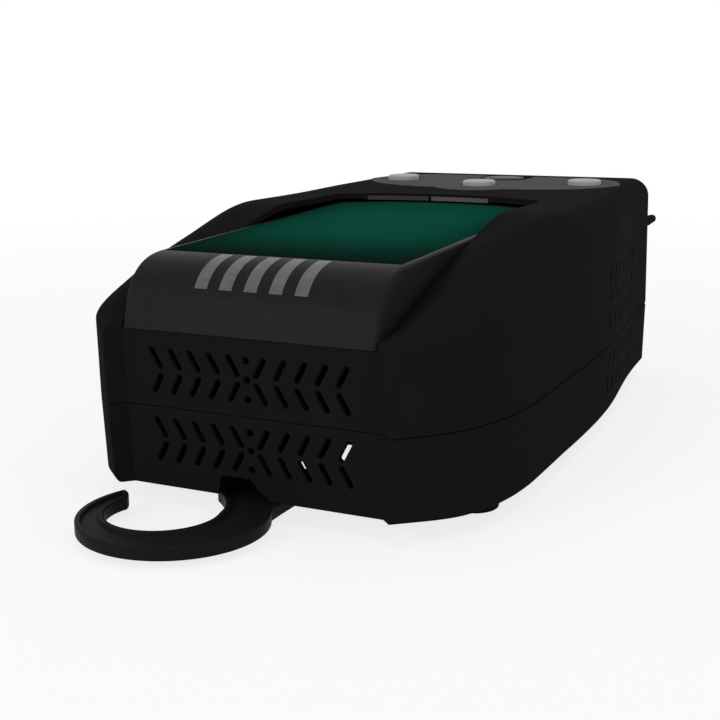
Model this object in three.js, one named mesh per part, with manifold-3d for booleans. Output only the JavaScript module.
// Bench battery charger lying on its feet: two vented case shells, a bent fascia with five light
// bars, a button console and a flat hanging hook that folds out from under the hook end.
// Millimetres, +Z up. The hook end faces -Y and the cable end faces +Y. While the pieces are drawn,
// y = 0 is the foot of the vented end wall and z = 0 is the floor under the feet.
import * as THREE from 'three';
import { mergeVertices } from 'three/addons/utils/BufferGeometryUtils.js';
import Module from 'manifold-3d';

const wasm = await Module();
wasm.setup();

// ---------------------------------------------------------------- case sizes
const wall = 2.5;               // moulded wall of both shells
const fitGap = 0.3;             // clearance between pieces that seat on each other
const seatGap = 0.3;            // clearance under a screw head
const footHeight = 7;           // underside of the case above the floor
const seamZ = 35.8;             // parting line between the shells
const caseLength = 275;         // foot of the end wall to the cable end
const endHalfWidth = 52.8;      // half-width across the cheeks beside the end wall
const midHalfWidth = 79.4;      // half-width at the widest place
const cableHalfWidth = 68.3;    // half-width at the cable end
const cheekReach = 5;           // how far the cheeks stand in front of the end wall
const cheekTopZ = 62.3;         // where the shoulders start, above the cheeks
const consoleZ = 96.6;          // top of the console beside the middle button
const consoleSlope = 0.022;     // rise of the console towards the cable end, mm per mm
const crestDrop = 1.6;          // the crest lies this much lower beside the label's middle
const endLean = 0.066;          // forward lean of the end wall, mm per mm of height
const lowerFlare = 0.45;        // how much the flanks widen from the base to the seam
const upperDraft = 0.02;        // how much the flanks narrow above the seam, mm per mm
const edgeRound = 0.6;          // rounding of the bottom edge
const roundMiddle = 0.3;        // middle of a rounding, as a share of its radius from both faces
const crestX = 57.5;            // the shoulder's crest, from the middle plane
const farCornerRound = 2.5;     // plan rounding of the corners at the cable end
const farTopRound = 3.5;        // rounding from the console into the cable end wall
const innerRound = 1;           // least rounding of the inner faces at the cable end
const flareLead = [8, 13.3];    // bend of the flank behind the cheek: its y, and its swell past the cheek
const flareEaseY = 17.3;        // from about here the flank eases into its full width
const flareEndY = 62;           // full width starts here
const taperStartY = 95;         // and ends here
const taperLead = [caseLength - 80, 1.5];   // bend into the taper: its y, and its swell past full width
const taperEase = [caseLength - 87, 7.4];   // run of the taper: its y, and how far it is drawn in
const crestLead = [2.9, 7.8];   // start of the shoulder's rise: its y, and its height over the cheek
const crestEase = [66.1, 2.6];  // end of the rise: its y, and its depth under the console
const crestEndY = 115;          // the crest is up here
const crestSettles = caseLength - 70;       // from here on the top is the console's plane
const shoulderWidths = { middle: 13, far: 9, least: 3.2 };   // of the rounding over the flank
const shoulderEases = { middle: [60, 125], far: [150, 240] };
const shoulderSteepness = { cheek: 0.9, rise: 1.7, far: 0.95 };   // height over width of the rounding
const steepnessYs = [60, 240];
const dipDepth = 4.5;           // hollow between the crest and the fascia's pocket
const dipStarts = [-5, 12];
const dipEnds = [55, 112];
const dipShape = [[0.9, 0.35], [0.78, 1]];  // share of the crest's x, and share of the dip
const leanEndY = 26;            // the end wall's lean dies out up to here
const recessBeyond = 6;         // the space before the end wall is drawn this far past the cheeks
const recessDraw = 0.6;         // share of a wall by which that space's sides are drawn in
const beyond = 1;               // how far a cut runs past the face that it opens
const drawnNearY = -20;         // cuts and outlines that pass the whole case run between these
const drawnFarY = 200;
const drawnTopZ = 120;
const drawnHalf = 100;          // and the widest and longest cuts out to these
const drawnEndY = 300;
const consoleCut = [80, 110];   // heights that a hole through the console runs between
const seamLipHeight = 2;        // locating lip inside the parting line
const seamLipWall = 1.1;        // thickness of that lip
const lipOffset = 0.6;          // the lip's inner face inside the wall's
const lipRoom = 0.6;            // room for the lip in the upper shell, beside it
const lipHeadroom = 0.4;        // and over it
const lipRoot = 4;              // the lip is drawn from this far under the seam
const lipFoot = 3;              // and stands out from this far under it

// ---------------------------------------------------------------- fascia and label sizes
const fasciaHalfWidth = 47.3;
const fasciaWall = 2.4;
const fasciaLipZ = 62.7;        // lower edge of the fascia, just above the vented wall
const fasciaLipY = -4.3;
const fasciaBendY = -1.6;       // where the front face starts to bend over
const fasciaBendZ = 71.5;
const labelNearY = 19.6;        // near edge of the label, where the bend ends
const labelNearZ = 86.2;
const bendLead = [1.5, 82];     // y and z that the front face bends towards
const bendEase = [9, 0.6];      // end of the bend: its y, and its depth under the label's near edge
const labelSlope = 0.037;       // rise of the label towards the console
const fasciaFarY = caseLength - 103.3;
const fasciaSkirt = 8;          // depth of the side walls under the label plane
const skirtOpen = 3;            // the hollow under the fascia is drawn this far past the skirt
const skirtYs = [12, 72, 200];  // the skirt's lower edge rises to the first, and follows the label after it
const farArcRise = 11;          // how far the middle of the far edge stands beyond its corners
const farCorner = { start: 6, bend: 2, in: 10, out: 4 };   // rounding of the far corners
const labelRim = 1.9;           // raised border of the fascia beside the label
const labelRecess = 0.6;
const labelThickness = 0.4;
const labelLift = 0.1;          // glue under the label
const labelPlay = 0.2;          // room round the label
const ledgeWidth = 2.6;         // ledge of the case under the fascia's skirt
const openingHalf = 60;         // the opening inside the ledge is cut out to here
const openingLowZ = 40;         // and from here up
const recessTopZ = fasciaLipZ + 60;     // the space before the end wall is cut up to here
const pocketAir = 30;           // the case's pocket is cut this far out over the fascia's surface

// ---------------------------------------------------------------- light bars
const barCount = 5;
const barPitch = 9.4;
const barWidth = 4.8;
const barGap = 0.25;
const barStart = 0.19;          // where a bar starts along the bend, as a share of the bend
const bendRun = 30;             // length of the bend that turns a gap into such a share
const barEndGap = 1.2;          // the bars end this much before the label
const lampBoardDepth = 9;       // lamp board behind the bend
const lampBoardSize = [74, 18, 1.6];
const lampShare = 0.6;          // place of the lamp board along the bend
const lampSize = 3;
const lampHeight = 1.6;
const lampSink = 0.2;           // lamps are sunk this much in their board
const lampPostX = 31;
const lampPostRadius = 2.4;

// ---------------------------------------------------------------- vent sizes
const slotPitch = 7.5;
const slotFirstX = 5.07;        // first slot of a row, from the middle plane
const slotsPerSide = 5;
const slotSpan = 6.25;          // between the centres of a slot's round ends
const slotWidth = 1.8;
const slotTilt = THREE.MathUtils.degToRad(28.7);
const endRowsUpper = [52.9, 44.0];
const endRowsLower = [28.3, 19.5];
const endHoleRadius = 1.15;
const endHolesUpper = [55.1, 48.5, 41.8];
const endHolesLower = [30.3, 24.0, 17.3];
const flankVentY = caseLength - 113;  // first flank slot
const flankSlotPitch = 11.3;
const flankSlots = 7;
const flankSlotSpan = 6.6;
const flankRowsUpper = [65.2, 46.4];
const flankHoleZ = 56;
const flankHoles = 5;
const flankHolePitch = 15.8;
const flankHoleRadius = 1.6;
const flankRowsLower = [28.6, 17.6];
const flankHoleLead = 1.5;      // the first hole lies this far behind the first slot
const endCut = [-14, 12];       // a slot's cut runs between these y through the end wall
const flankCut = [58, 90];      // and between these distances from the middle through a flank

// ---------------------------------------------------------------- console and buttons
const buttonX = 46.3;           // the outer buttons
const buttonY = caseLength - 43;
const middleButtonY = caseLength - 60;
const buttonRadius = 7.7;
const buttonRise = 2.4;         // crown of a button above the console
const buttonEdge = 1;           // rounding of a button's rim
const buttonTravel = 1.2;
const buttonFlange = 9.2;
const buttonFlangeThickness = 1.2;
const stemRadius = 1.8;         // stem under a button that meets its switch
const stemHeight = 0.6;
const overlayRecess = 0.5;
const overlayThickness = 0.6;
const overlayGap = 0.3;
const overlayHalfLength = 63;
const overlayNearY = caseLength - 75;
const overlayFarY = caseLength - 13;
const bulgeRadius = 20;         // near-side bulge round the middle button
const bulgeInset = 11;          // its centre behind the overlay's near edge
const overlayNearBend = [9, 2]; // bends of the tips, in from the tip and from the edge
const overlayFarBend = [3, 4];
const overlayFarHalf = 38;      // half the straight run of the far edge
const overlayGlue = 0.1;
const lensY = caseLength - 24;              // dark round lens in the overlay's notch
const lensRadius = 10;
const lensThickness = 1.6;
const lensRise = 0.4;           // the lens stands this much above the console
const lensBevel = [0.6, 0.4];   // across and down
const notchGap = 2.5;           // room round the lens in the overlay
const notchRun = 10;            // its cut runs this far past the overlay's far edge
const collarWidth = 2.2;        // collar of the case round the lens
const lensPlay = 0.2;           // room round the lens in the case
const lensBed = 0.1;            // and under it
const lampDiscRadius = 6.9;     // pale lamp disc sunk in the dark lens
const lampDiscDepth = 0.8;
const lampDome = [0.5, 0.2, 0.3];   // its edge across, its edge's rise and its middle's rise
const windowStart = -35.5;       // pale windows in the step behind the label, left end
const windowLength = 27.3;
const windowHeight = 1.9;
const windowDepth = 1.4;
const windowGap = 1.3;
const windowInset = 0.2;        // their faces behind the step
const windowLift = 0.6;         // windows above the label at the step
const switchSize = 6;
const switchHeight = 3.5;
const switchStem = 1.2;
const switchStemRadius = 1.7;
const buttonBoardSize = [116, 44, 1.6];
const buttonBoardCorner = 4;
const buttonBoardShift = 2;     // its middle lies this far behind the middle of the buttons
const buttonBoardPostX = 23;
const buttonBoardPostSteps = [-6, 15];      // its posts, from its middle
const buttonBoardPost = 2.6;

// ---------------------------------------------------------------- hook
const hookTopZ = 6.5;           // folded out, the plate runs just under the case
const hookThickness = 4.4;
const hookOuter = { x: -17.6, y: -21, r: 31.8 };
const hookInner = { x: -22.4, y: -20.4, r: 19 };
const hookNeckLeft = -13;
const hookNeckRight = 6;
const hookNeckSweep = 11.5;     // how far the neck's left side sweeps over to the round opening
const hookFlare = { left: -17, right: 9.4, nearY: 5, farY: 13.2 };   // wide root of the neck
const hookShoulderTurn = 31;    // where the outer round passes into the neck, degrees
const hookNeckRootY = 6;        // from here back the neck is straight
const hookTip = THREE.MathUtils.degToRad(163);   // direction of the open end from the throat
const hookMouthTurn = 20;       // where the round opening meets the neck, degrees
const hookNeckDip = -4.5;       // how low the neck's left side dips before the opening
const hookTipTurn = 7;          // the tip is this much narrower than the turn, degrees
const tipSpread = 20;           // borders turn the tip's ends back by their width over these
const tipSpreadOuter = 30;
const hookRim = 1.9;            // raised border round the pocket of the plate
const hookPocket = 1.2;
const hingeY = 18.5;
const hingeZ = 7.3;
const knuckleRadius = 4.3;
const pocketEnd = 0.8;          // the hook's pocket ends this far before the knuckle
const pinRadius = 1.5;
const pinGap = 0.3;
const lugGap = 0.6;             // play between the knuckle and the lugs
const lugWidth = 4;             // lugs of the case that hold the pin
const lugCap = 1;               // solid end of a lug behind the pin's bore
const bayGap = 2;               // room round the stowed hook
const rootGap = 1.2;            // room beside the stowed neck's wide root
const bayShoulder = 4.4;        // behind the hinge the bay widens for the neck's wide root
const bayScoop = { in: 1, back: 4, radius: 9 };   // finger scoop at the stowed hook's side
const bayTopZ = 14;             // roof of the bay that the hook folds into
const bayWindows = [             // openings in the bay's side that air passes through
  [[5, 13, 12.2], [13.5, 24.5, 18]],
  [[9, 37, 9.8], [17, 50, 18]]];
const notchLeft = -13.9;        // the bay's mouth in the end wall
const notchRightTop = -0.8;
const notchRight = 7.4;
const notchLean = 1.2;          // the left side leans in by this much
const notchCorner = [3, 2];     // rounding at the top of that side, across and down
const notchBend = [0.8, 4];     // hollow of the sloped side, across and down
const notchCut = [-10, 4];      // the mouth is cut between these y

// ---------------------------------------------------------------- cable end, feet and screws
const plateHalfWidth = 66;
const plateLowZ = 40;
const plateHighZ = 65.5;
const plateThickness = 0.8;
const plateRecess = 1.3;
const plateCorner = 0.8;
const plateGlue = 0.1;
const endWallCut = [caseLength - 6, caseLength + 5];   // holes through the cable end run between these y
const bootX = 60.2;              // boot of the output lead
const bootZ = 73.5;
const bootLength = 44;
const bootRadius = 3.6;
const bootTipRadius = 2.3;
const bootRibs = 5;
const glandX = -42;             // gland of the mains lead
const glandRadius = 6;
const glandReach = 5;
const leadBore = 1.4;
const footPlaces = [[-62, 44], [62, 44], [-46, caseLength - 35], [46, caseLength - 35]];
const footRadius = 9;
const footInset = 0.8;          // depth of the seat that a foot is stuck into
const screwX = 57;
const screwYs = [24, caseLength - 20];
const screwPost = 4.2;
const postStep = 0.4;           // the upper shell's posts are this much thinner
const screwShank = 1.5;
const screwHead = 3.2;
const screwHeadHeight = 2.2;
const screwSeatZ = 12;          // where the screw heads bear
const screwTopZ = 52;
const screwTip = 3;             // length of a case screw's point
const screwBevel = 0.5;         // of its head
const boreSpare = 2;            // bores run this much past the wall or the screw

// ---------------------------------------------------------------- inside
const boardSize = [112, 164, 1.6];
const boardY = caseLength - 107;
const boardZ = 18;
const boardPostInset = [6, 8];   // holes of the board, in from its edges
const boardPostX = boardSize[0] / 2 - boardPostInset[0];
const boardPostY = boardSize[1] / 2 - boardPostInset[1];
const boardPostRadius = 3;
const boardScrewRadius = 1.1;
const transformerY = caseLength - 70;
const transformerX = -24;
const coreSize = [44, 42, 46];
const windingRadius = 15.5;
const sinkX = 38;
const sinkSize = [26, 92, 42];
const finCount = 6;
const finThickness = 1.8;
const finBase = 4;
const transistorSize = [4.5, 10, 16];
const transistorCount = 3;
const boardNear = boardY - boardSize[1] / 2;
const capacitorY = boardNear + 40;
const capacitorRadius = 11;
const capacitorHeight = 34;
const chokePlace = [-41, boardNear + 16];
const chokeSeat = [12, 16, 3];
const chokeRadius = 12;
const chokeTube = 5;
const relayPlace = [-22, boardNear + 2];
const relaySize = [28, 16, 15];
const fusePlace = [12, boardNear + 14];
const fuseLength = 20;
const fuseRadius = 2.6;

/** The four places at plus and minus x and at both y values. */
const fourPlaces = (x, ys) => ys.flatMap((y) => [[-x, y], [x, y]]);
const screwPlaces = fourPlaces(screwX, screwYs);
const boardPlaces = fourPlaces(boardPostX, [boardY - boardPostY, boardY + boardPostY]);

// ---------------------------------------------------------------- helpers
const degrees = THREE.MathUtils.degToRad;

/** A closed three.js geometry as a solid that can be joined and cut. */
function solid(geometry) {
  const bare = geometry.clone();
  for (const name of Object.keys(bare.attributes)) {
    if (name !== 'position') bare.deleteAttribute(name);
  }
  const merged = mergeVertices(bare, 1e-4);
  const vertProperties = new Float32Array(merged.attributes.position.array);
  const triVerts = new Uint32Array(merged.index.array);
  return new wasm.Manifold(new wasm.Mesh({ numProp: 3, vertProperties, triVerts }));
}

/** The solid's surface as a three.js geometry. */
function surface(manifold) {
  const mesh = manifold.getMesh();
  const geometry = new THREE.BufferGeometry();
  geometry.setAttribute('position', new THREE.BufferAttribute(new Float32Array(mesh.vertProperties), 3));
  geometry.setIndex(new THREE.BufferAttribute(new Uint32Array(mesh.triVerts), 1));
  return geometry;
}

/** Plan outline raised from z = low to z = high. */
function upright(shape, low, high, curveSegments = 5) {
  const options = { depth: high - low, bevelEnabled: false, curveSegments };
  const geometry = new THREE.ExtrudeGeometry(shape, options);
  geometry.translate(0, 0, low);
  return solid(geometry);
}

/** Outline drawn in (y, z), carried across the part from x = left to x = right. */
function crosswise(shape, left, right, curveSegments = 5) {
  const options = { depth: right - left, bevelEnabled: false, curveSegments };
  const geometry = new THREE.ExtrudeGeometry(shape, options);
  geometry.applyMatrix4(new THREE.Matrix4().makeBasis(
    new THREE.Vector3(0, 1, 0), new THREE.Vector3(0, 0, 1), new THREE.Vector3(1, 0, 0)));
  geometry.translate(left, 0, 0);
  return solid(geometry);
}

/** Outline drawn in (x, z), carried along the part from y = near to y = far. */
function lengthwise(shape, near, far, curveSegments = 5) {
  const options = { depth: far - near, bevelEnabled: false, curveSegments };
  const geometry = new THREE.ExtrudeGeometry(shape, options);
  geometry.applyMatrix4(new THREE.Matrix4().makeBasis(
    new THREE.Vector3(1, 0, 0), new THREE.Vector3(0, 0, 1), new THREE.Vector3(0, -1, 0)));
  geometry.translate(0, far, 0);
  return solid(geometry);
}

/** Block from its lowest to its highest corner. */
function block(low, high) {
  const size = high.map((value, axis) => value - low[axis]);
  const geometry = new THREE.BoxGeometry(...size);
  geometry.translate(...low.map((value, axis) => value + size[axis] / 2));
  return solid(geometry);
}

/** Upright round bar. */
function post(x, y, radius, low, high, sides = 20) {
  const geometry = new THREE.CylinderGeometry(radius, radius, high - low, sides);
  geometry.rotateX(Math.PI / 2);
  geometry.translate(x, y, (low + high) / 2);
  return solid(geometry);
}

/** Round bar across the part. */
function crossBar(y, z, radius, left, right, sides = 24) {
  const geometry = new THREE.CylinderGeometry(radius, radius, right - left, sides);
  geometry.rotateZ(Math.PI / 2);
  geometry.translate((left + right) / 2, y, z);
  return solid(geometry);
}

/** Profile of [radius, height] pairs turned round an upright axis at x, y. */
function turned(x, y, profile, sides = 28) {
  const points = profile.map(([r, z]) => new THREE.Vector2(r, z));
  const geometry = new THREE.LatheGeometry(points, sides);
  geometry.rotateX(Math.PI / 2);
  geometry.translate(x, y, 0);
  return solid(geometry);
}

const join = (solids) => solids.reduce((whole, next) => whole.add(next));

/** Round-ended slot outline whose long way leans by tilt from the second axis. */
function slotShape(a, b, span, width, tilt, steps = 2) {
  const shape = new THREE.Shape();
  const radius = width / 2;
  for (let end = 0; end < 2; end += 1) {
    const sign = end === 0 ? 1 : -1;
    const centreA = a + sign * Math.sin(tilt) * span / 2;
    const centreB = b + sign * Math.cos(tilt) * span / 2;
    for (let k = 0; k <= steps; k += 1) {
      const angle = (end === 0 ? 0 : Math.PI) - tilt + Math.PI * k / steps;
      const pointA = centreA + radius * Math.cos(angle);
      const pointB = centreB + radius * Math.sin(angle);
      if (end === 0 && k === 0) shape.moveTo(pointA, pointB);
      else shape.lineTo(pointA, pointB);
    }
  }
  shape.closePath();
  return shape;
}

function circleShape(a, b, radius) {
  const shape = new THREE.Shape();
  shape.absarc(a, b, radius, 0, 2 * Math.PI, false);
  return shape;
}

function roundedRectShape(left, low, right, high, radius) {
  const shape = new THREE.Shape();
  shape.moveTo(left + radius, low);
  shape.lineTo(right - radius, low);
  shape.absarc(right - radius, low + radius, radius, -Math.PI / 2, 0, false);
  shape.lineTo(right, high - radius);
  shape.absarc(right - radius, high - radius, radius, 0, Math.PI / 2, false);
  shape.lineTo(left + radius, high);
  shape.absarc(left + radius, high - radius, radius, Math.PI / 2, Math.PI, false);
  shape.lineTo(left, low + radius);
  shape.absarc(left + radius, low + radius, radius, Math.PI, 1.5 * Math.PI, false);
  return shape;
}

/** Second coordinate of a curve that runs steadily in its first. */
function curveValue(curve, first) {
  let low = 0;
  let high = 1;
  for (let step = 0; step < 40; step += 1) {
    const middle = (low + high) / 2;
    if (curve.getPoint(middle).x < first) low = middle;
    else high = middle;
  }
  return curve.getPoint((low + high) / 2).y;
}

const smooth = (from, to, value) => THREE.MathUtils.smoothstep(value, from, to);

// ---------------------------------------------------------------- case form
// Plan of a flank as (y, half-width): quick flare behind the cheeks, then a slow taper.
const flankFront = new THREE.CubicBezierCurve(
  new THREE.Vector2(-cheekReach, endHalfWidth),
  new THREE.Vector2(flareLead[0], endHalfWidth + flareLead[1]),
  new THREE.Vector2(flareEaseY, midHalfWidth),
  new THREE.Vector2(flareEndY, midHalfWidth));
const flankRear = new THREE.CubicBezierCurve(
  new THREE.Vector2(taperStartY, midHalfWidth),
  new THREE.Vector2(taperLead[0], midHalfWidth + taperLead[1]),
  new THREE.Vector2(taperEase[0], midHalfWidth - taperEase[1]),
  new THREE.Vector2(caseLength, cableHalfWidth));
// Crest of the shoulders as (y, z): an S from the cheeks up to the console.
const crestRise = new THREE.CubicBezierCurve(
  new THREE.Vector2(-cheekReach, cheekTopZ),
  new THREE.Vector2(crestLead[0], cheekTopZ + crestLead[1]),
  new THREE.Vector2(crestEase[0], consoleZ - crestEase[1]),
  new THREE.Vector2(crestEndY, consoleZ - crestDrop));

/** Height of the console's plane at y. */
const consoleAt = (y) => consoleZ + consoleSlope * (y - middleButtonY);

function flankX(y) {
  if (y <= flareEndY) return curveValue(flankFront, y);
  if (y <= taperStartY) return midHalfWidth;
  return curveValue(flankRear, y);
}

function crestZ(y) {
  if (y <= crestEndY) return curveValue(crestRise, y);
  return THREE.MathUtils.lerp(consoleZ - crestDrop, consoleAt(y), smooth(crestEndY, crestSettles, y));
}

// Stations along the case: close together where the form turns quickly.
const stationsBody = [-5, -2.4, 1, 5, 10, 16, 24, 34, 46, 60, 78, 100, 125, 155, 185, 215, 245];
const stationGap = 0.8;                // least step from the first station to the next
const endShares = [0, 0.45, 0.8, 1];   // through the rounding at the cable end

/** Sizes of the cross-section at a station, all drawn in by inset. */
function sectionSizes(station, inset) {
  const lastY = caseLength - inset;
  const topRound = Math.max(farTopRound - inset, innerRound);
  const cornerRound = inset > 0 ? innerRound : farCornerRound;
  const intoTop = Math.max(station - (lastY - topRound), 0);
  const intoCorner = Math.max(station - (lastY - cornerRound), 0);
  const topDrop = topRound - Math.sqrt(Math.max(topRound ** 2 - intoTop ** 2, 0));
  const cornerDrop = cornerRound - Math.sqrt(Math.max(cornerRound ** 2 - intoCorner ** 2, 0));
  const half = flankX(station) - inset - cornerDrop;
  const top = crestZ(station) - inset - topDrop;
  const { middle, far, least } = shoulderWidths;
  const { lerp } = THREE.MathUtils;
  const nearWidth = lerp(half - (crestX - inset), middle, smooth(...shoulderEases.middle, station));
  const shoulderWidth = Math.max(lerp(nearWidth, far, smooth(...shoulderEases.far, station)), least);
  const { cheek, rise } = shoulderSteepness;
  const nearSteepness = lerp(cheek, rise, smooth(-cheekReach, steepnessYs[0], station));
  const steepness = lerp(nearSteepness, shoulderSteepness.far, smooth(...steepnessYs, station));
  const shoulderHeight = shoulderWidth * steepness;
  const dip = dipDepth * smooth(...dipStarts, station) * (1 - smooth(...dipEnds, station));
  const lean = endLean * (1 - smooth(0, leanEndY, station));
  return { half, top, shoulderWidth, shoulderHeight, dip, lean };
}

/** Half-width of the flank at height z for a section of half-width half at the base. */
function flareAt(half, z) {
  if (z <= seamZ) return half + lowerFlare * (z - footHeight) / (seamZ - footHeight);
  return half + lowerFlare - upperDraft * (z - seamZ);
}

/** Right half of an upper cross-section from the seam to the middle, as [x, z] pairs. */
function upperHalfSection(sizes, lowZ, steps) {
  const { half, top, shoulderWidth, shoulderHeight, dip } = sizes;
  const flankTop = top - shoulderHeight;
  const outer = flareAt(half, flankTop);
  const points = [[flareAt(half, lowZ), lowZ], [outer, flankTop]];
  for (let k = 1; k <= steps; k += 1) {
    const angle = Math.PI / 2 * k / steps;
    points.push([
      outer - shoulderWidth * (1 - Math.cos(angle)),
      flankTop + shoulderHeight * Math.sin(angle)]);
  }
  for (const [share, drop] of dipShape) points.push([(outer - shoulderWidth) * share, top - dip * drop]);
  return points;
}

/** Right half of a lower cross-section from the middle of the base out to the seam. */
function lowerHalfSection(sizes, lowZ, highZ, round) {
  const { half } = sizes;
  const foot = round > 0
    ? [[half - round, lowZ], [half - round * roundMiddle, lowZ + round * roundMiddle], [half, lowZ + round]]
    : [[flareAt(half, lowZ), lowZ]];
  return [...foot, [flareAt(half, highZ), highZ]];
}

/** Solid through like cross-sections, one for each station; points carry the lean of the end. */
function loft(stations, section, sizesAt) {
  const rings = stations.map((station) => {
    const sizes = sizesAt(station);
    const right = section(sizes);
    const left = right.map(([x, z]) => [-x, z]).reverse();
    return [...right, ...left].map(([x, z]) => [x, station - sizes.lean * (z - footHeight), z]);
  });
  const count = rings[0].length;
  const positions = rings.flat(2);
  const faces = [];
  for (let ring = 0; ring + 1 < rings.length; ring += 1) {
    for (let k = 0; k < count; k += 1) {
      const a = ring * count + k;
      const b = ring * count + (k + 1) % count;
      faces.push(a, b + count, b, a, a + count, b + count);
    }
  }
  const cap = THREE.ShapeUtils.triangulateShape(rings[0].map(([x, , z]) => new THREE.Vector2(x, z)), []);
  const lastRing = rings.at(-1).map(([x, , z]) => new THREE.Vector2(x, z));
  const last = THREE.ShapeUtils.triangulateShape(lastRing, []);
  const base = (rings.length - 1) * count;
  for (const [a, b, c] of cap) faces.push(a, b, c);
  for (const [a, b, c] of last) faces.push(base + a, base + c, base + b);
  const geometry = new THREE.BufferGeometry();
  geometry.setAttribute('position', new THREE.Float32BufferAttribute(positions, 3));
  geometry.setIndex(faces);
  return solid(geometry);
}

/** Stations of the case drawn in by inset; the nearest one starts behind the cheeks' face. */
function stationsFor(inset) {
  const first = -cheekReach + inset;
  const end = caseLength - inset;
  const round = Math.max(farTopRound - inset, innerRound);
  const between = stationsBody.filter((y) => y > first + stationGap && y < end - round - 1);
  const body = inset === 0 ? between : between.filter((y) => stationsBody.indexOf(y) % 2 === 0);
  const last = inset === 0 ? endShares : [0, 1];
  return [first, ...body, ...last.map((share) => end - round + share * round)];
}

function upperForm(inset, lowZ) {
  const steps = inset === 0 ? 5 : 2;
  const section = (sizes) => upperHalfSection(sizes, lowZ, steps);
  return loft(stationsFor(inset), section, (y) => sectionSizes(y, inset));
}

function lowerForm(inset, lowZ, highZ, round) {
  return loft(stationsFor(inset), (sizes) => lowerHalfSection(sizes, lowZ, highZ, round),
    (y) => sectionSizes(y, inset));
}

/** Space in front of the vented end wall, between the cheeks; inset moves it inwards. */
function endRecess(inset, lowZ, highZ) {
  const outline = (z) => {
    const shift = -endLean * (z - footHeight);
    const inner = endHalfWidth - cheekReach + inset * recessDraw;
    const reach = cheekReach + recessBeyond;
    return [
      [-inner, inset + shift], [inner, inset + shift],
      [inner + reach, inset + shift - reach], [-inner - reach, inset + shift - reach]];
  };
  const positions = [lowZ, highZ].flatMap((z) => outline(z).map(([x, y]) => [x, y, z]));
  const geometry = new THREE.BufferGeometry();
  geometry.setAttribute('position', new THREE.Float32BufferAttribute(positions.flat(), 3));
  geometry.setIndex([
    0, 2, 1, 0, 3, 2, 4, 5, 6, 4, 6, 7,
    0, 1, 5, 0, 5, 4, 1, 2, 6, 1, 6, 5,
    2, 3, 7, 2, 7, 6, 3, 0, 4, 3, 4, 7]);
  const raw = solid(geometry);
  return raw.volume() > 0 ? raw : solid(flipped(geometry));
}

function flipped(geometry) {
  const index = geometry.index.array;
  for (let k = 0; k < index.length; k += 3) [index[k + 1], index[k + 2]] = [index[k + 2], index[k + 1]];
  return geometry;
}

// ---------------------------------------------------------------- fascia form
// Section of the fascia as (y, z): a leaning front, a bend and the long label plane.
const fasciaBend = new THREE.CubicBezierCurve(
  new THREE.Vector2(fasciaBendY, fasciaBendZ),
  new THREE.Vector2(...bendLead),
  new THREE.Vector2(bendEase[0], labelNearZ - bendEase[1]),
  new THREE.Vector2(labelNearY, labelNearZ));
const labelPlaneZ = (y) => labelNearZ + labelSlope * (y - labelNearY);

/** Points along the fascia's section, set below its outer surface by depth. */
function fasciaLine(depth, fromShare, toY) {
  const points = [];
  if (fromShare < 0) points.push([new THREE.Vector2(fasciaLipY, fasciaLipZ), fasciaBend.getTangent(0)]);
  const steps = 7;
  for (let k = 0; k <= steps; k += 1) {
    const share = Math.max(fromShare, 0) + (1 - Math.max(fromShare, 0)) * k / steps;
    points.push([fasciaBend.getPoint(share), fasciaBend.getTangent(share)]);
  }
  if (toY > labelNearY) {
    points.push([new THREE.Vector2(toY, labelPlaneZ(toY)), new THREE.Vector2(1, labelSlope).normalize()]);
  }
  return points.map(([point, along]) => [point.x + along.y * depth, point.y - along.x * depth]);
}

/** Closed band between two depths under the fascia's surface. */
function fasciaBand(top, bottom, fromShare, toY) {
  const shape = new THREE.Shape();
  fasciaLine(top, fromShare, toY).forEach(([y, z], k) => (k === 0 ? shape.moveTo(y, z) : shape.lineTo(y, z)));
  fasciaLine(bottom, fromShare, toY).reverse().forEach(([y, z]) => shape.lineTo(y, z));
  shape.closePath();
  return shape;
}

/** Line that the fascia's skirt stands on, at a height above it. */
function skirtLine(offset) {
  const [foot, ...after] = skirtYs;
  return [[foot, fasciaLipZ + offset], ...after.map((y) => [y, labelPlaneZ(y) - fasciaSkirt + offset])];
}

/** Section under the fascia's surface and above its skirt line. */
function fasciaSection(depth, skirtOffset) {
  const shape = new THREE.Shape();
  const line = fasciaLine(depth, -1, drawnFarY);
  line.forEach(([y, z], k) => (k === 0 ? shape.moveTo(y, z) : shape.lineTo(y, z)));
  skirtLine(skirtOffset).reverse().forEach(([y, z]) => shape.lineTo(y, z));
  shape.lineTo(fasciaLipY + depth, fasciaLipZ + skirtOffset);
  shape.closePath();
  return shape;
}

/** Plan of the fascia with its bowed far edge, drawn in by inset. */
function fasciaPlan(inset, nearY) {
  const half = fasciaHalfWidth - inset;
  const far = fasciaFarY - inset;
  const cornerY = far - farArcRise;
  const shape = new THREE.Shape();
  shape.moveTo(-half, nearY);
  shape.lineTo(half, nearY);
  shape.lineTo(half, cornerY - farCorner.start);
  shape.quadraticCurveTo(half, cornerY + farCorner.bend, half - farCorner.in, cornerY + farCorner.out);
  shape.quadraticCurveTo(half / 2, far, 0, far);
  shape.quadraticCurveTo(-half / 2, far, -half + farCorner.in, cornerY + farCorner.out);
  shape.quadraticCurveTo(-half, cornerY + farCorner.bend, -half, cornerY - farCorner.start);
  shape.closePath();
  return shape;
}

/** The fascia's plan as a tall column, drawn in by inset, to cut pieces to its outline. */
const fasciaColumn = (inset, nearY) => upright(fasciaPlan(inset, nearY), 0, drawnTopZ);

const barXs = Array.from({ length: barCount }, (_, k) => (k - (barCount - 1) / 2) * barPitch);
const barEndY = labelNearY - barEndGap;

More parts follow.
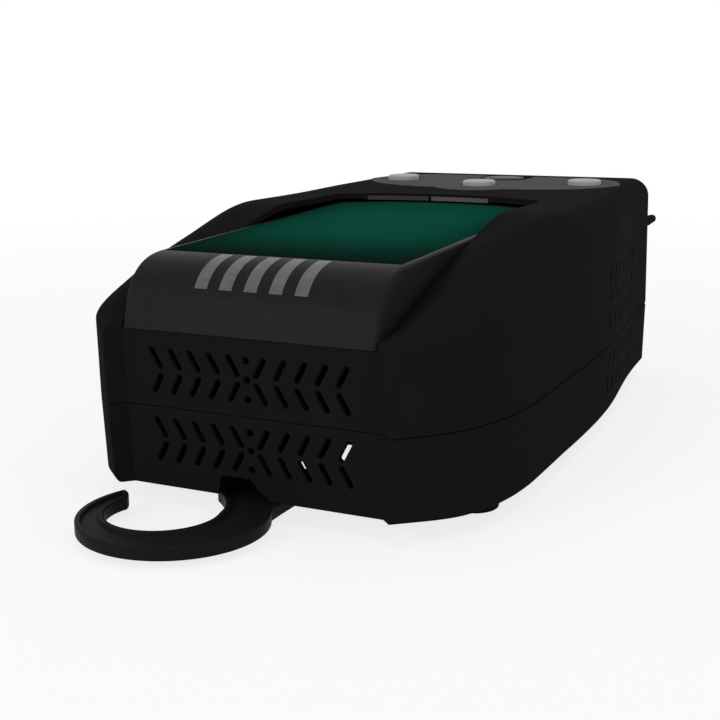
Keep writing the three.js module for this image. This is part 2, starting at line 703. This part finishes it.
/** One light bar: a strip of the fascia's own bend, drawn out by gap. */
function lightBar(x, gap) {
  const share = barStart - gap / bendRun;
  const past = gap > 0 ? beyond : 0;
  const half = barWidth / 2 + gap;
  const strip = crosswise(fasciaBand(-past, fasciaWall + past, share, 0), x - half, x + half);
  return strip.intersect(block([x - barPitch, drawnNearY, 0], [x + barPitch, barEndY + gap, drawnTopZ]));
}

// The lamp board lies square to the middle of the bend, lampBoardDepth under it.
const bendMiddle = fasciaBend.getPoint(lampShare);
const bendAlong = fasciaBend.getTangent(lampShare);
const lampTurn = Math.atan2(bendAlong.y, bendAlong.x);

/** Places a solid drawn round the origin (z out through the bend) behind the bend. */
function behindBend(manifold) {
  const turn = THREE.MathUtils.radToDeg(lampTurn);
  return manifold.rotate([turn, 0, 0]).translate([0, bendMiddle.x, bendMiddle.y]);
}

function fascia() {
  const outer = crosswise(fasciaSection(0, 0), -fasciaHalfWidth, fasciaHalfWidth)
    .intersect(fasciaColumn(0, drawnNearY));
  const innerHalf = fasciaHalfWidth - fasciaWall;
  const inner = crosswise(fasciaSection(fasciaWall, -skirtOpen), -innerHalf, innerHalf)
    .intersect(fasciaColumn(fasciaWall, drawnNearY));
  const labelSeat = crosswise(labelBand(-beyond, labelRecess), -fasciaHalfWidth, fasciaHalfWidth)
    .intersect(fasciaColumn(labelRim, labelNearY));
  const bars = join(barXs.map((x) => lightBar(x, barGap)));
  const posts = [-lampPostX, lampPostX].map((x) => behindBend(
    post(x, 0, lampPostRadius, -lampBoardDepth + fitGap, -fasciaWall + beyond, 12)));
  return join([outer.subtract(inner), ...posts]).subtract(labelSeat).subtract(bars);
}

/** Band over the label plane between two depths. */
function labelBand(top, bottom) {
  const shape = new THREE.Shape();
  const ends = [labelNearY - beyond, drawnFarY];
  shape.moveTo(ends[0], labelPlaneZ(ends[0]) - top);
  shape.lineTo(ends[0], labelPlaneZ(ends[0]) - bottom);
  shape.lineTo(ends[1], labelPlaneZ(ends[1]) - bottom);
  shape.lineTo(ends[1], labelPlaneZ(ends[1]) - top);
  shape.closePath();
  return shape;
}

function labelSheet() {
  const low = labelRecess - labelLift;
  return crosswise(labelBand(low - labelThickness, low), -fasciaHalfWidth, fasciaHalfWidth)
    .intersect(fasciaColumn(labelRim + labelPlay, labelNearY + labelPlay));
}

function lampBoard() {
  const [length, width, thickness] = lampBoardSize;
  const top = -lampBoardDepth;
  const half = lampSize / 2;
  const [lampLow, lampTop] = [top - lampSink, top + lampHeight];
  const lamps = barXs.map((x) => block([x - half, -half, lampLow], [x + half, half, lampTop]));
  const sheet = block([-length / 2, -width / 2, top - thickness], [length / 2, width / 2, top]);
  return behindBend(join([sheet, ...lamps]));
}

// ---------------------------------------------------------------- vents
/** All slots and holes of one shell as one cutter: the hook end and both flanks. */
function vents(endRows, endHoles, flankRows, flankHoleHeight) {
  const [near, far] = flankCut;
  const cutters = [];
  endRows.forEach((z, row) => {
    for (let k = 0; k < slotsPerSide; k += 1) {
      const x = slotFirstX + k * slotPitch;
      const tilt = row === 0 ? slotTilt : -slotTilt;
      cutters.push(lengthwise(slotShape(x, z, slotSpan, slotWidth, tilt), ...endCut));
      cutters.push(lengthwise(slotShape(-x, z, slotSpan, slotWidth, -tilt), ...endCut));
    }
  });
  for (const z of endHoles) cutters.push(lengthwise(circleShape(0, z, endHoleRadius), ...endCut, 3));
  flankRows.forEach((z, row) => {
    for (let k = 0; k < flankSlots; k += 1) {
      const y = flankVentY + k * flankSlotPitch;
      const tilt = row === 0 ? slotTilt : -slotTilt;
      cutters.push(crosswise(slotShape(y, z, flankSlotSpan, slotWidth, tilt), near, far));
      cutters.push(crosswise(slotShape(y, z, flankSlotSpan, slotWidth, tilt), -far, -near));
    }
  });
  if (flankHoleHeight > 0) {
    for (let k = 0; k < flankHoles; k += 1) {
      const y = flankVentY + flankHoleLead + k * flankHolePitch;
      cutters.push(crosswise(circleShape(y, flankHoleHeight, flankHoleRadius), near, far, 4));
      cutters.push(crosswise(circleShape(y, flankHoleHeight, flankHoleRadius), -far, -near, 4));
    }
  }
  return join(cutters);
}

// ---------------------------------------------------------------- console
const buttonPlaces = {
  button_left: [-buttonX, buttonY],
  button_middle: [0, middleButtonY],
  button_right: [buttonX, buttonY],
};

/** Lozenge of the overlay with its bulge and its round notch, drawn out by grow. */
function overlayShape(grow) {
  const near = overlayNearY - grow;
  const far = overlayFarY + grow;
  const tip = overlayHalfLength + grow;
  const middleY = (overlayNearY + overlayFarY) / 2;
  const bulge = bulgeRadius + grow;
  const bulgeCentre = overlayNearY + bulgeInset;
  const bulgeX = Math.sqrt(bulge ** 2 - (bulgeCentre - near) ** 2);
  const shape = new THREE.Shape();
  shape.moveTo(-bulgeX, near);
  const turn = Math.atan2(near - bulgeCentre, bulgeX);
  shape.absarc(0, bulgeCentre, bulge, Math.PI - turn - 2 * Math.PI, turn, false);
  const [nearIn, nearUp] = overlayNearBend;
  const [farIn, farDown] = overlayFarBend;
  shape.quadraticCurveTo(tip - nearIn, near + nearUp, tip, middleY);
  shape.quadraticCurveTo(tip - farIn, far - farDown, overlayFarHalf, far);
  shape.lineTo(-overlayFarHalf, far);
  shape.quadraticCurveTo(-tip + farIn, far - farDown, -tip, middleY);
  shape.quadraticCurveTo(-tip + nearIn, near + nearUp, -bulgeX, near);
  return shape;
}

const overlayFloor = consoleZ - overlayRecess;

/** Carries a piece drawn on a level console onto the sloping one; upright lines stay upright. */
const onConsole = (drawn) => drawn.transform([
  1, 0, 0, 0,
  0, 1, consoleSlope, 0,
  0, 0, 1, 0,
  0, 0, -consoleSlope * middleButtonY, 1]);

function consoleOverlay() {
  const low = overlayFloor + overlayGlue;
  const sheet = upright(overlayShape(0), low, low + overlayThickness, 4);
  const holeRadius = buttonRadius + overlayGap + fitGap;
  const holes = Object.values(buttonPlaces).map(([x, y]) => post(x, y, holeRadius, ...consoleCut, 16));
  const notchRadius = lensRadius + notchGap;
  const notch = post(0, lensY, notchRadius, ...consoleCut, 20);
  const notchMouth = block(
    [-notchRadius, lensY, consoleCut[0]],
    [notchRadius, overlayFarY + notchRun, consoleCut[1]]);
  return onConsole(sheet.subtract(join([...holes, notch, notchMouth])));
}

function statusLens() {
  const top = consoleZ + lensRise;
  return onConsole(turned(0, lensY, [
    [0, top - lensThickness], [lensRadius, top - lensThickness],
    [lensRadius, top - lensBevel[1]], [lensRadius - lensBevel[0], top],
    [lampDiscRadius + fitGap, top], [lampDiscRadius + fitGap, top - lampDiscDepth],
    [0, top - lampDiscDepth]], 16));
}

function statusLamp() {
  const top = consoleZ + lensRise;
  return onConsole(turned(0, lensY, [
    [0, top - lampDiscDepth + seatGap], [lampDiscRadius, top - lampDiscDepth + seatGap],
    [lampDiscRadius, top], [lampDiscRadius - lampDome[0], top + lampDome[1]], [0, top + lampDome[2]]], 16));
}

function button(x, y) {
  const flangeTop = consoleZ - wall - fitGap;
  const flangeLow = flangeTop - buttonFlangeThickness;
  const profile = [
    [0, flangeLow - stemHeight], [stemRadius, flangeLow - stemHeight], [stemRadius, flangeLow],
    [buttonFlange, flangeLow],
    [buttonFlange, flangeTop], [buttonRadius, flangeTop],
    [buttonRadius, consoleZ + buttonRise - buttonEdge],
    [buttonRadius - buttonEdge * 0.3, consoleZ + buttonRise - buttonEdge * 0.4],
    [buttonRadius - buttonEdge, consoleZ + buttonRise - buttonEdge * 0.1],
    [0, consoleZ + buttonRise]];
  return onConsole(turned(x, y, profile, 16));
}

const switchTop = consoleZ - wall - fitGap - buttonFlangeThickness - stemHeight - buttonTravel - fitGap;
const buttonBoardTop = switchTop - switchStem - switchHeight - fitGap;

function tactSwitch(x, y) {
  const half = switchSize / 2;
  const bodyTop = switchTop - switchStem;
  const body = block([x - half, y - half, bodyTop - switchHeight], [x + half, y + half, bodyTop]);
  return onConsole(body.add(post(x, y, switchStemRadius, bodyTop - 0.3, switchTop, 8)));
}

const buttonBoardY = (buttonY + middleButtonY) / 2 + buttonBoardShift;
const buttonBoardPostYs = buttonBoardPostSteps.map((step) => buttonBoardY + step);

function buttonBoard() {
  const [length, width, thickness] = buttonBoardSize;
  const low = buttonBoardY - width / 2;
  const outline = roundedRectShape(-length / 2, low, length / 2, low + width, buttonBoardCorner);
  return onConsole(upright(outline, buttonBoardTop - thickness, buttonBoardTop, 2));
}

function windowBox(order, gap) {
  const near = fasciaFarY - farArcRise;
  const left = windowStart + order * (windowLength + windowGap);
  const z = labelPlaneZ(fasciaFarY) + windowLift;
  const far = fasciaFarY + fitGap + windowDepth;
  return block([left - gap, near, z - gap], [left + windowLength + gap, far + gap, z + windowHeight + gap]);
}

/** Pale window bar with its face following the bowed step. */
function statusWindow(order) {
  return windowBox(order, 0).subtract(fasciaColumn(-fitGap - windowInset, drawnNearY));
}

// ---------------------------------------------------------------- hook
/** Plan of the hook drawn in by inset: a crescent with a neck back to the hinge. */
function hookPlan(inset) {
  const shape = new THREE.Shape();
  const outerR = hookOuter.r - inset;
  const innerR = hookInner.r + inset;
  const right = hookNeckRight - inset;
  const left = hookNeckLeft + inset;
  const outerStart = degrees(hookShoulderTurn);
  const far = hingeY - (inset > 0 ? knuckleRadius + pocketEnd : 0);
  const innerStart = degrees(hookMouthTurn);
  shape.moveTo(left, far);
  shape.lineTo(left, hookFlare.farY - inset);
  shape.lineTo(hookFlare.left + inset, hookFlare.farY - inset);
  shape.lineTo(hookFlare.left + inset, hookFlare.nearY);
  shape.quadraticCurveTo(hookFlare.left + hookNeckSweep + inset, hookNeckDip - inset / 2,
    hookInner.x + innerR * Math.cos(innerStart), hookInner.y + innerR * Math.sin(innerStart));
  shape.absarc(hookInner.x, hookInner.y, innerR, innerStart, hookTip - 2 * Math.PI + inset / tipSpread, true);
  const tipOuter = hookTip - degrees(hookTipTurn) + inset / tipSpreadOuter;
  const outerStop = outerStart + 2 * Math.PI - inset / tipSpread;
  shape.absarc(hookOuter.x, hookOuter.y, outerR, tipOuter, outerStop, false);
  shape.quadraticCurveTo(hookFlare.right - inset, 0, hookFlare.right - inset, hookNeckRootY);
  shape.lineTo(hookFlare.right - inset, hookFlare.farY - inset);
  shape.lineTo(right, hookFlare.farY - inset);
  shape.lineTo(right, far);
  shape.closePath();
  return shape;
}

function hook() {
  const low = hookTopZ - hookThickness;
  const plate = upright(hookPlan(0), low, hookTopZ, 14);
  const pocket = upright(hookPlan(hookRim), hookTopZ - hookPocket, hookTopZ + beyond, 10);
  const knuckle = crossBar(hingeY, hingeZ, knuckleRadius, hookNeckLeft, hookNeckRight, 14);
  const [left, right] = [hookNeckLeft - beyond, hookNeckRight + beyond];
  const bore = crossBar(hingeY, hingeZ, pinRadius + pinGap, left, right, 12);
  return plate.subtract(pocket).add(knuckle).subtract(bore);
}

const lugLeft = hookNeckLeft - lugGap;
const lugRight = hookNeckRight + lugGap;

function hookPin() {
  return crossBar(hingeY, hingeZ, pinRadius, lugLeft - lugWidth + fitGap, lugRight + lugWidth - fitGap, 12);
}

/** Half-round lugs under the base on both sides of the knuckle, with the pin's blind bores. */
function hingeLugs() {
  return join([
    crossBar(hingeY, hingeZ, knuckleRadius, lugLeft - lugWidth - lugCap, lugLeft, 12),
    crossBar(hingeY, hingeZ, knuckleRadius, lugRight, lugRight + lugWidth + lugCap, 12)]);
}

/** Plan of the bay that the hook folds into, drawn out by grow. */
function hookBay(low, high, grow) {
  const stowedY = 2 * hingeY - hookOuter.y;
  const round = post(hookOuter.x, stowedY, hookOuter.r + bayGap + grow, low, high, 24);
  const neck = block([lugLeft - grow, wall - grow, low], [lugRight + grow, stowedY, high]);
  const shoulder = block(
    [hookFlare.left - rootGap - grow, hingeY + bayShoulder - grow, low],
    [hookFlare.right + rootGap + grow, stowedY, high]);
  const scoopX = hookOuter.x - hookOuter.r + bayScoop.in;
  const scoop = post(scoopX, stowedY + bayScoop.back, bayScoop.radius + grow, low, high, 12);
  return join([round, neck, shoulder, scoop]);
}

/** The bay's mouth through the end wall: upright on one side, sloped on the other. */
function bayMouth() {
  const shape = new THREE.Shape();
  const upperLeft = notchLeft + notchLean;
  const bendX = (notchRight + notchRightTop) / 2 - notchBend[0];
  shape.moveTo(notchLeft, footHeight - beyond);
  shape.lineTo(notchRight + beyond, footHeight - beyond);
  shape.quadraticCurveTo(bendX, bayTopZ - notchBend[1], notchRightTop, bayTopZ);
  shape.lineTo(notchLeft + notchCorner[0], bayTopZ);
  shape.quadraticCurveTo(upperLeft, bayTopZ, upperLeft, bayTopZ - notchCorner[1]);
  shape.closePath();
  return lengthwise(shape, ...notchCut);
}

// ---------------------------------------------------------------- shells
function upperShell() {
  const low = seamZ + fitGap / 2;
  const outer = upperForm(0, low).subtract(endRecess(0, low - beyond, recessTopZ));
  const inner = upperForm(wall, low - beyond).subtract(endRecess(wall, low - 2 * beyond, recessTopZ));
  const shell = outer.subtract(inner);
  const tubHalf = fasciaHalfWidth + wall;
  const tub = crosswise(fasciaSection(-pocketAir, -fitGap - wall), -tubHalf, tubHalf)
    .intersect(fasciaColumn(-fitGap - wall, drawnNearY)).intersect(outer);
  const seatHalf = fasciaHalfWidth + fitGap;
  const seat = crosswise(fasciaSection(-pocketAir, -fitGap), -seatHalf, seatHalf)
    .intersect(fasciaColumn(-fitGap, drawnNearY));
  const ledgeY = -endLean * (fasciaLipZ - footHeight) + wall;
  const openingSection = fasciaSection(-pocketAir, -fitGap - wall - beyond);
  const opening = upright(fasciaPlan(ledgeWidth, ledgeY), openingLowZ, drawnTopZ)
    .intersect(crosswise(openingSection, -openingHalf, openingHalf));
  const postRadius = screwPost - postStep;
  const posts = screwPlaces.map(([x, y]) => post(x, y, postRadius, seamZ + fitGap, crestZ(y) + wall, 8));
  for (const [x, y] of fourPlaces(buttonBoardPostX, buttonBoardPostYs)) {
    posts.push(onConsole(post(x, y, buttonBoardPost, buttonBoardTop + fitGap, consoleZ - wall / 2, 8)));
  }
  const bore = [screwShank + fitGap, seamZ - beyond, screwTopZ + boreSpare, 8];
  const holes = screwPlaces.map(([x, y]) => post(x, y, ...bore));
  const buttonHole = buttonRadius + fitGap;
  const buttonHoleLow = consoleZ - wall - boreSpare;
  for (const [x, y] of Object.values(buttonPlaces)) {
    holes.push(post(x, y, buttonHole, buttonHoleLow, consoleCut[1], 16));
  }
  const lensCollar = post(0, lensY, lensRadius + collarWidth, ...consoleCut, 20);
  const overlayRecess = upright(overlayShape(overlayGap), overlayFloor, consoleCut[1], 4);
  holes.push(onConsole(overlayRecess.subtract(lensCollar)));
  const lensFloor = consoleZ + lensRise - lensThickness - lensBed;
  holes.push(onConsole(post(0, lensY, lensRadius + lensPlay, lensFloor, consoleCut[1], 16)));
  holes.push(windowBox(0, fitGap), windowBox(1, fitGap));
  const lip = lipSpace(seamLipWall + lipRoom, seamLipHeight + lipHeadroom);
  let whole = shell.add(tub).add(join(posts).intersect(outer)).subtract(seat).subtract(opening);
  whole = whole.subtract(lip).subtract(join(holes)).subtract(endFittings(fitGap));
  return whole.subtract(vents(endRowsUpper, endHolesUpper, flankRowsUpper, flankHoleZ));
}

/** Ring inside the parting line: the lower shell's lip, or the room for it. */
function lipSpace(outset, height) {
  const low = seamZ - lipRoot;
  const high = seamZ + height;
  const face = wall - outset;
  const back = wall + lipOffset;
  const outer = lowerForm(face, low, high, 0).subtract(endRecess(face, low - beyond, high + beyond));
  const inner = lowerForm(back, low - beyond, high + beyond, 0)
    .subtract(endRecess(back, low - 2 * beyond, high + 2 * beyond));
  return outer.subtract(inner);
}

/** Plate recess, boot hole and gland hole in the cable end wall. */
function endFittings(gap) {
  const [near, far] = endWallCut;
  const recess = block(
    [-midHalfWidth, caseLength - plateRecess, plateLowZ - gap],
    [midHalfWidth, far, plateHighZ + gap]);
  const boot = lengthwise(circleShape(bootX, bootZ, bootRadius + gap), near, far, 8);
  const gland = lengthwise(circleShape(glandX, bootZ, glandRadius + gap), near, far, 8);
  return join([recess, boot, gland]);
}

function lowerShell() {
  const high = seamZ - fitGap / 2;
  const outer = lowerForm(0, footHeight, high, edgeRound).subtract(endRecess(0, footHeight - 1, high + 1));
  const inner = lowerForm(wall, footHeight + wall, high + 1, 0)
    .subtract(endRecess(wall, footHeight, high + 2));
  const underLip = block([-drawnHalf, drawnNearY, 0], [drawnHalf, drawnEndY, seamZ - lipFoot]);
  const lip = lipSpace(seamLipWall, seamLipHeight).subtract(underLip);
  const form = lowerForm(0, footHeight, seamZ + 10, edgeRound)
    .subtract(endRecess(0, footHeight - 1, seamZ + 11));
  const raised = [hookBay(footHeight, bayTopZ + wall, wall)];
  const floor = footHeight + wall / 2;
  for (const [x, y] of screwPlaces) raised.push(post(x, y, screwPost, floor, seamZ - fitGap, 10));
  for (const [x, y] of boardPlaces) raised.push(post(x, y, boardPostRadius, floor, boardZ - fitGap, 8));
  const padTop = footHeight + wall + footInset;
  for (const [x, y] of footPlaces) raised.push(post(x, y, footRadius + 2, floor, padTop, 10));
  const cuts = [hookBay(footHeight - 1, bayTopZ, 0), bayMouth()];
  cuts.push(crossBar(hingeY, hingeZ, pinRadius + pinGap, lugLeft - lugWidth, lugRight + lugWidth, 12));
  for (const [low, high] of bayWindows) cuts.push(block(low, high));
  for (const [x, y] of screwPlaces) {
    cuts.push(post(x, y, screwHead + fitGap, footHeight - 1, screwSeatZ, 10));
    cuts.push(post(x, y, screwShank + fitGap, footHeight, seamZ + 1, 8));
  }
  const boardBore = [boardScrewRadius + fitGap, boardZ - 6, boardZ + 1, 8];
  for (const [x, y] of boardPlaces) cuts.push(post(x, y, ...boardBore));
  for (const [x, y] of footPlaces) {
    cuts.push(post(x, y, footRadius + fitGap, footHeight - 1, footHeight + footInset, 14));
  }
  const walls = outer.subtract(inner).add(lip).add(join(raised).intersect(form)).add(hingeLugs());
  return walls.subtract(join(cuts)).subtract(vents(endRowsLower, endHolesLower, flankRowsLower, 0));
}

// ---------------------------------------------------------------- cable end fittings
function endPlate() {
  const outline = roundedRectShape(-plateHalfWidth, plateLowZ, plateHalfWidth, plateHighZ, plateCorner);
  const near = caseLength - plateRecess + plateGlue;
  return lengthwise(outline, near, near + plateThickness, 2);
}

/** Ribbed, tapered boot: one profile turned round its lead, with an open bore at the tip. */
function leadBoot() {
  const collar = bootRadius + 0.8;
  const profile = [[0, -4], [collar, -4], [collar, -wall - fitGap]];
  profile.push([bootRadius, -wall - fitGap], [bootRadius, 1.5]);
  const pitch = (bootLength - 5) / bootRibs;
  for (let rib = 0; rib < bootRibs; rib += 1) {
    const start = 2.5 + rib * pitch;
    const radius = THREE.MathUtils.lerp(bootRadius, bootTipRadius, rib / (bootRibs - 1));
    profile.push([radius * 0.72, start], [radius, start + pitch * 0.3], [radius, start + pitch * 0.8]);
  }
  profile.push([bootTipRadius * 0.9, bootLength], [leadBore, bootLength]);
  profile.push([leadBore, bootLength - 6], [0, bootLength - 6]);
  const points = profile.map(([r, along]) => new THREE.Vector2(r, along));
  const geometry = new THREE.LatheGeometry(points, 10);
  geometry.translate(bootX, caseLength, bootZ);
  return solid(geometry);
}

function mainsGland() {
  const points = [
    [0, -4], [glandRadius + 1.8, -4], [glandRadius + 1.8, -wall - fitGap], [glandRadius, -wall - fitGap],
    [glandRadius, fitGap], [glandRadius + 1, fitGap], [glandRadius + 1, 2], [glandRadius - 1.5, glandReach],
    [3.2, glandReach], [3.2, -1], [0, -1]].map(([r, along]) => new THREE.Vector2(r, along));
  const geometry = new THREE.LatheGeometry(points, 12);
  geometry.translate(glandX, caseLength, bootZ);
  return solid(geometry);
}

function foot(x, y) {
  const top = footHeight + footInset - fitGap / 2;
  return turned(x, y, [
    [0, 0], [footRadius - 1, 0], [footRadius, 1],
    [footRadius, top], [0, top]], 14);
}

function caseScrew(x, y) {
  const headTop = screwSeatZ - seatGap;
  const headLow = headTop - screwHeadHeight;
  return turned(x, y, [
    [0, headLow], [screwHead - screwBevel, headLow], [screwHead, headTop],
    [screwShank, headTop], [screwShank, screwTopZ - screwTip], [0, screwTopZ]], 8);
}

// ---------------------------------------------------------------- inside the case
const boardTop = boardZ + boardSize[2];
const seatZ = boardTop + fitGap;   // parts sit this high on the board

function mainBoard() {
  const [width, length, thickness] = boardSize;
  const outline = roundedRectShape(-width / 2, boardY - length / 2, width / 2, boardY + length / 2, 3);
  const sheet = upright(outline, boardZ, boardZ + thickness, 2);
  return sheet.subtract(join(boardPlaces.map(([x, y]) => post(x, y, boardScrewRadius + fitGap, 0, 60, 8))));
}

function boardScrew(x, y) {
  return turned(x, y, [
    [0, boardZ - 5], [boardScrewRadius, boardZ - 4.4], [boardScrewRadius, boardTop + seatGap],
    [2.2, boardTop + seatGap], [0, boardTop + 1.8]], 8);
}

/** Two E-shaped ferrite halves as one frame, open round the winding. */
function transformerCore() {
  const [width, length, height] = coreSize;
  const x = transformerX;
  const y = transformerY;
  const frame = block(
    [x - width / 2, y - length / 4, seatZ],
    [x + width / 2, y + length / 4, seatZ + height]);
  const window = block(
    [x - width / 2 + 7, y - length, seatZ + 7],
    [x + width / 2 - 7, y + length, seatZ + height - 7]);
  return frame.subtract(window).add(post(x, y, 7, seatZ + 6, seatZ + height - 6, 12));
}

function transformerWinding() {
  const [width, , height] = coreSize;
  const low = seatZ + 7 + fitGap;
  const high = seatZ + height - 7 - fitGap;
  const limit = Math.min(windingRadius, width / 2 - 7 - fitGap);
  const bobbin = [
    [7.4, low], [limit, low], [limit, low + 1.6], [limit - 1.2, low + 1.6],
    [limit - 1.2, high - 1.6], [limit, high - 1.6], [limit, high], [7.4, high], [7.4, low]];
  return turned(transformerX, transformerY, bobbin, 12);
}

/** Extruded aluminium comb standing on the board, fins towards the flank. */
function heatSink() {
  const [width, length, height] = sinkSize;
  const left = sinkX - width / 2;
  const near = boardY - length / 2;
  const pieces = [block([left, near, seatZ], [left + finBase, near + length, seatZ + height])];
  for (let k = 0; k < finCount; k += 1) {
    const z = seatZ + k * (height - finThickness) / (finCount - 1);
    pieces.push(block([left + finBase - 1, near, z], [left + width, near + length, z + finThickness]));
  }
  return join(pieces);
}

function powerTransistor(k) {
  const [thickness, width, height] = transistorSize;
  const right = sinkX - sinkSize[0] / 2 - fitGap;
  const y = boardY - sinkSize[1] / 2 + sinkSize[1] * (k + 0.5) / transistorCount;
  return block([right - thickness, y - width / 2, seatZ], [right, y + width / 2, seatZ + height]);
}

function bulkCapacitor(k) {
  const x = transformerX - 8 + k * (2 * capacitorRadius + 3);
  return turned(x, capacitorY, [
    [0, seatZ], [capacitorRadius, seatZ], [capacitorRadius, seatZ + capacitorHeight - 1],
    [capacitorRadius - 1, seatZ + capacitorHeight], [0, seatZ + capacitorHeight]], 12);
}

function filterChoke() {
  const geometry = new THREE.TorusGeometry(chokeRadius - chokeTube, chokeTube, 6, 12);
  geometry.rotateY(Math.PI / 2);
  const [x, y] = chokePlace;
  const [width, length, height] = chokeSeat;
  geometry.translate(x, y, seatZ + chokeRadius);
  const low = [x - width / 2, y - length / 2, seatZ];
  return solid(geometry).add(block(low, [low[0] + width, low[1] + length, seatZ + height]));
}

function relay() {
  const [width, length, height] = relaySize;
  const [x, y] = relayPlace;
  return block([x, y, seatZ], [x + width, y + length, seatZ + height]);
}

function fuse() {
  const [left, y] = fusePlace;
  const z = seatZ + fuseRadius + 1.2;
  const body = crossBar(y, z, fuseRadius, left, left + fuseLength, 8);
  const clips = [left + 1, left + fuseLength - 4].map((x) => (
    block([x, y - fuseRadius, seatZ], [x + 3, y + fuseRadius, z])));
  return join([body, ...clips]);
}

// ---------------------------------------------------------------- assembly
const charger = new THREE.Group();
const plastic = { roughness: 0.55, metalness: 0 };

function add(name, manifold, colour, options = plastic) {
  const material = new THREE.MeshStandardMaterial({ color: colour, ...options });
  const mesh = new THREE.Mesh(surface(manifold), material);
  mesh.name = name;
  charger.add(mesh);
}

const black = 0x1a1a1c;
const boardGreen = 0x1f5a34;
const rubber = { roughness: 0.9, metalness: 0 };
const metal = { roughness: 0.35, metalness: 1 };
const clear = { roughness: 0.25, metalness: 0 };

add('upper_shell', upperShell(), black);
add('lower_shell', lowerShell(), black);
add('fascia', fascia(), 0x202022);
add('label_sheet', labelSheet(), 0x0b4a3c, clear);
barXs.forEach((x, k) => add(`light_bar_${k + 1}`, lightBar(x, 0), 0x9a9c9e, clear));
add('console_overlay', consoleOverlay(), 0x4a4b4e);
add('status_lens', statusLens(), 0x151517, clear);
add('status_lamp', statusLamp(), 0xb4b3b8, clear);
add('status_window_left', statusWindow(0), 0x8f8a8a, clear);
add('status_window_right', statusWindow(1), 0xb0a8a8, clear);
for (const [name, [x, y]] of Object.entries(buttonPlaces)) add(name, button(x, y), 0xb4b3b8);
add('hook', hook(), 0x2b2b2d);
add('hook_pin', hookPin(), 0xa0a0a0, metal);
add('end_plate', endPlate(), 0xc9c9c9);
add('output_lead_boot', leadBoot(), 0x202022, rubber);
add('mains_gland', mainsGland(), 0x202022, rubber);
footPlaces.forEach(([x, y], k) => add(`foot_${k + 1}`, foot(x, y), 0x2a2a2a, rubber));
screwPlaces.forEach(([x, y], k) => add(`case_screw_${k + 1}`, caseScrew(x, y), 0x9a9a9a, metal));
add('main_board', mainBoard(), boardGreen);
boardPlaces.forEach(([x, y], k) => add(`board_screw_${k + 1}`, boardScrew(x, y), 0x9a9a9a, metal));
add('transformer_core', transformerCore(), 0x3a3b3d);
add('transformer_winding', transformerWinding(), 0xb5702f);
add('heat_sink', heatSink(), 0xb8bcc0, metal);
for (let k = 0; k < transistorCount; k += 1) add(`power_transistor_${k + 1}`, powerTransistor(k), 0x1b1b1b);
for (let k = 0; k < 2; k += 1) add(`bulk_capacitor_${k + 1}`, bulkCapacitor(k), 0x222a55);
add('filter_choke', filterChoke(), 0xa5632a);
add('relay', relay(), 0x2f4f8f);
add('fuse', fuse(), 0xd0c8a0);
add('lamp_board', lampBoard(), boardGreen);
add('button_board', buttonBoard(), boardGreen);
Object.entries(buttonPlaces).forEach(([name, [x, y]]) => {
  add(name.replace('button', 'switch'), tactSwitch(x, y), 0x303030);
});

// The part's origin is the middle of its base at rest, between the hook's front and the boot's tip.
const nearReach = hookOuter.y - hookOuter.r;
const farReach = caseLength + bootLength;
const part = new THREE.Group();
charger.position.set(0, -(nearReach + farReach) / 2, 0);
part.add(charger);

export default part;
